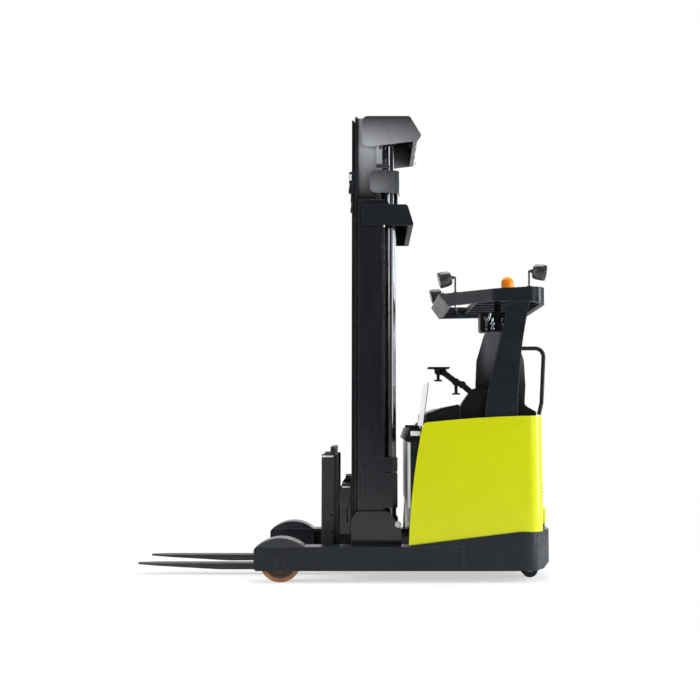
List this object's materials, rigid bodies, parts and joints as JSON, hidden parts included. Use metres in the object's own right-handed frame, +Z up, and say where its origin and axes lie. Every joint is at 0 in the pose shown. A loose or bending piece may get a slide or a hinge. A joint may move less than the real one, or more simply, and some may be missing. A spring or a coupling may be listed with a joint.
{
  "type": "reach truck",
  "caption": "Seated reach truck with a reach carriage, telescoping mast, tilting forks, straddle legs on load wheels, a steered drive wheel and an overhead guard.",
  "frame": {"origin": "on the floor, below the middle of the truck's length and width with the forks lowered", "axes": "+X towards the drive end, with the forks to -X; +Y towards the entry side; +Z up"},
  "size_m": [3.044, 1.2838, 3.466],
  "materials": {
    "charcoal_paint": "satin charcoal paint on steel",
    "cover_paint": "charcoal paint, pale where the light falls along the arched top",
    "yellow_paint": "gloss yellow-green paint",
    "mast_steel": "dark paint on rolled mast section",
    "fork_steel": "black paint on forged fork",
    "polyurethane": "orange-brown polyurethane",
    "black_rubber": "black rubber",
    "wheel_metal": "dark cast hub",
    "bright_steel": "bright ground steel",
    "grey_steel": "plain machined steel",
    "pale_panel": "pale grey paint",
    "black_plastic": "grained black moulding",
    "seat_fabric": "black upholstery",
    "lamp_body": "black lamp housing",
    "beacon_amber": "clear amber lens",
    "clear_sheet": "clear plastic sheet",
    "shell_plastic": "plain dark grey moulding"
  },
  "bodies": {
    "chassis": {"leg_near": "charcoal_paint", "leg_far": "charcoal_paint", "wheel_covers": "cover_paint", "load_axles": "grey_steel", "chassis_base": "charcoal_paint", "side_panel_near": "yellow_paint", "side_panel_far": "yellow_paint", "rear_panel": "yellow_paint", "rear_cover": "yellow_paint", "battery": "charcoal_paint", "battery_front": "pale_panel", "battery_lid": "black_plastic", "clear_screen": "clear_sheet", "console": "black_plastic", "steering_wheel": "black_plastic", "controls": "black_plastic", "floor_plate": "black_rubber", "seat_hood": "charcoal_paint", "seat_surround": "black_plastic", "seat_cushion": "seat_fabric", "seat_shell": "shell_plastic", "seat_back": "seat_fabric", "terminal_arm": "grey_steel", "guard_posts": "charcoal_paint", "guard_rim": "charcoal_paint", "guard_bars": "charcoal_paint", "roof_unit": "black_plastic", "grab_handle": "charcoal_paint", "work_lamps": "lamp_body", "beacon_base": "black_plastic", "beacon_lens": "beacon_amber"},
    "load_wheel_near": {"load_tyre_near": "polyurethane", "load_hub_near": "wheel_metal"},
    "load_wheel_far": {"load_tyre_far": "polyurethane", "load_hub_far": "wheel_metal"},
    "drive_turntable": {"drive_unit": "wheel_metal"},
    "drive_wheel": {"drive_tyre": "polyurethane", "drive_hub": "wheel_metal"},
    "castor_swivel": {"castor_fork": "grey_steel"},
    "castor_roller": {"castor_wheel": "black_rubber"},
    "reach_carriage": {"reach_frame": "mast_steel", "reach_rollers": "grey_steel", "outer_mast": "mast_steel", "cylinder_clamps": "mast_steel", "lift_barrels": "mast_steel", "second_cover": "charcoal_paint"},
    "middle_stage": {"middle_mast": "mast_steel", "rod_clamps": "mast_steel", "flange_clips": "bright_steel", "lift_rods": "bright_steel", "mast_chains": "grey_steel"},
    "inner_stage": {"inner_mast": "mast_steel", "free_lift_barrel": "mast_steel", "top_cover": "charcoal_paint"},
    "free_lift_head": {"free_lift_rod": "bright_steel", "free_chains": "grey_steel"},
    "lift_carriage": {"lift_carriage": "mast_steel", "carriage_rollers": "grey_steel"},
    "fork_carriage": {"fork_frame": "fork_steel", "forks": "fork_steel"}
  },
  "joints": [
    {"name": "load_wheel_near_spin", "type": "hinge", "parent": "chassis", "child": "load_wheel_near", "pos_m": [-0.423, -0.56, 0.148], "axis": [0, 1, 0], "continuous": true},
    {"name": "load_wheel_far_spin", "type": "hinge", "parent": "chassis", "child": "load_wheel_far", "pos_m": [-0.423, 0.56, 0.148], "axis": [0, 1, 0], "continuous": true},
    {"name": "steer", "type": "hinge", "parent": "chassis", "child": "drive_turntable", "pos_m": [1.077, 0.11, 0.1715], "axis": [0, 0, 1], "range_deg": [-95, 95]},
    {"name": "drive_wheel_spin", "type": "hinge", "parent": "drive_turntable", "child": "drive_wheel", "pos_m": [1.077, 0.11, 0.1715], "axis": [0, 1, 0], "continuous": true},
    {"name": "castor_swing", "type": "hinge", "parent": "chassis", "child": "castor_swivel", "pos_m": [1.349, -0.352, 0.16], "axis": [0, 0, 1], "continuous": true},
    {"name": "castor_spin", "type": "hinge", "parent": "castor_swivel", "child": "castor_roller", "pos_m": [1.381, -0.352, 0.06], "axis": [0, 1, 0], "continuous": true},
    {"name": "reach", "type": "slide", "parent": "chassis", "child": "reach_carriage", "axis": [-1, 0, 0], "range_m": [0, 0.5]},
    {"name": "mast_lift", "type": "slide", "parent": "reach_carriage", "child": "middle_stage", "axis": [0, 0, 1], "range_m": [0, 2.1], "deforming": ["mast_chains"]},
    {"name": "inner_lift", "type": "slide", "parent": "middle_stage", "child": "inner_stage", "axis": [0, 0, 1], "range_m": [0, 2.1]},
    {"name": "carriage_lift", "type": "slide", "parent": "inner_stage", "child": "lift_carriage", "axis": [0, 0, 1], "range_m": [0, 2.4], "deforming": ["free_chains"]},
    {"name": "free_rod_lift", "type": "slide", "parent": "inner_stage", "child": "free_lift_head", "axis": [0, 0, 1], "range_m": [0, 1.2]},
    {"name": "fork_tilt", "type": "hinge", "parent": "lift_carriage", "child": "fork_carriage", "pos_m": [0.015, 0, 0.542], "axis": [0, 1, 0], "range_deg": [-2, 4]}
  ],
  "couplings": [
    {"joint": "inner_lift", "follows": "mast_lift", "ratio": 1},
    {"joint": "free_rod_lift", "follows": "carriage_lift", "ratio": 0.5}
  ]
}
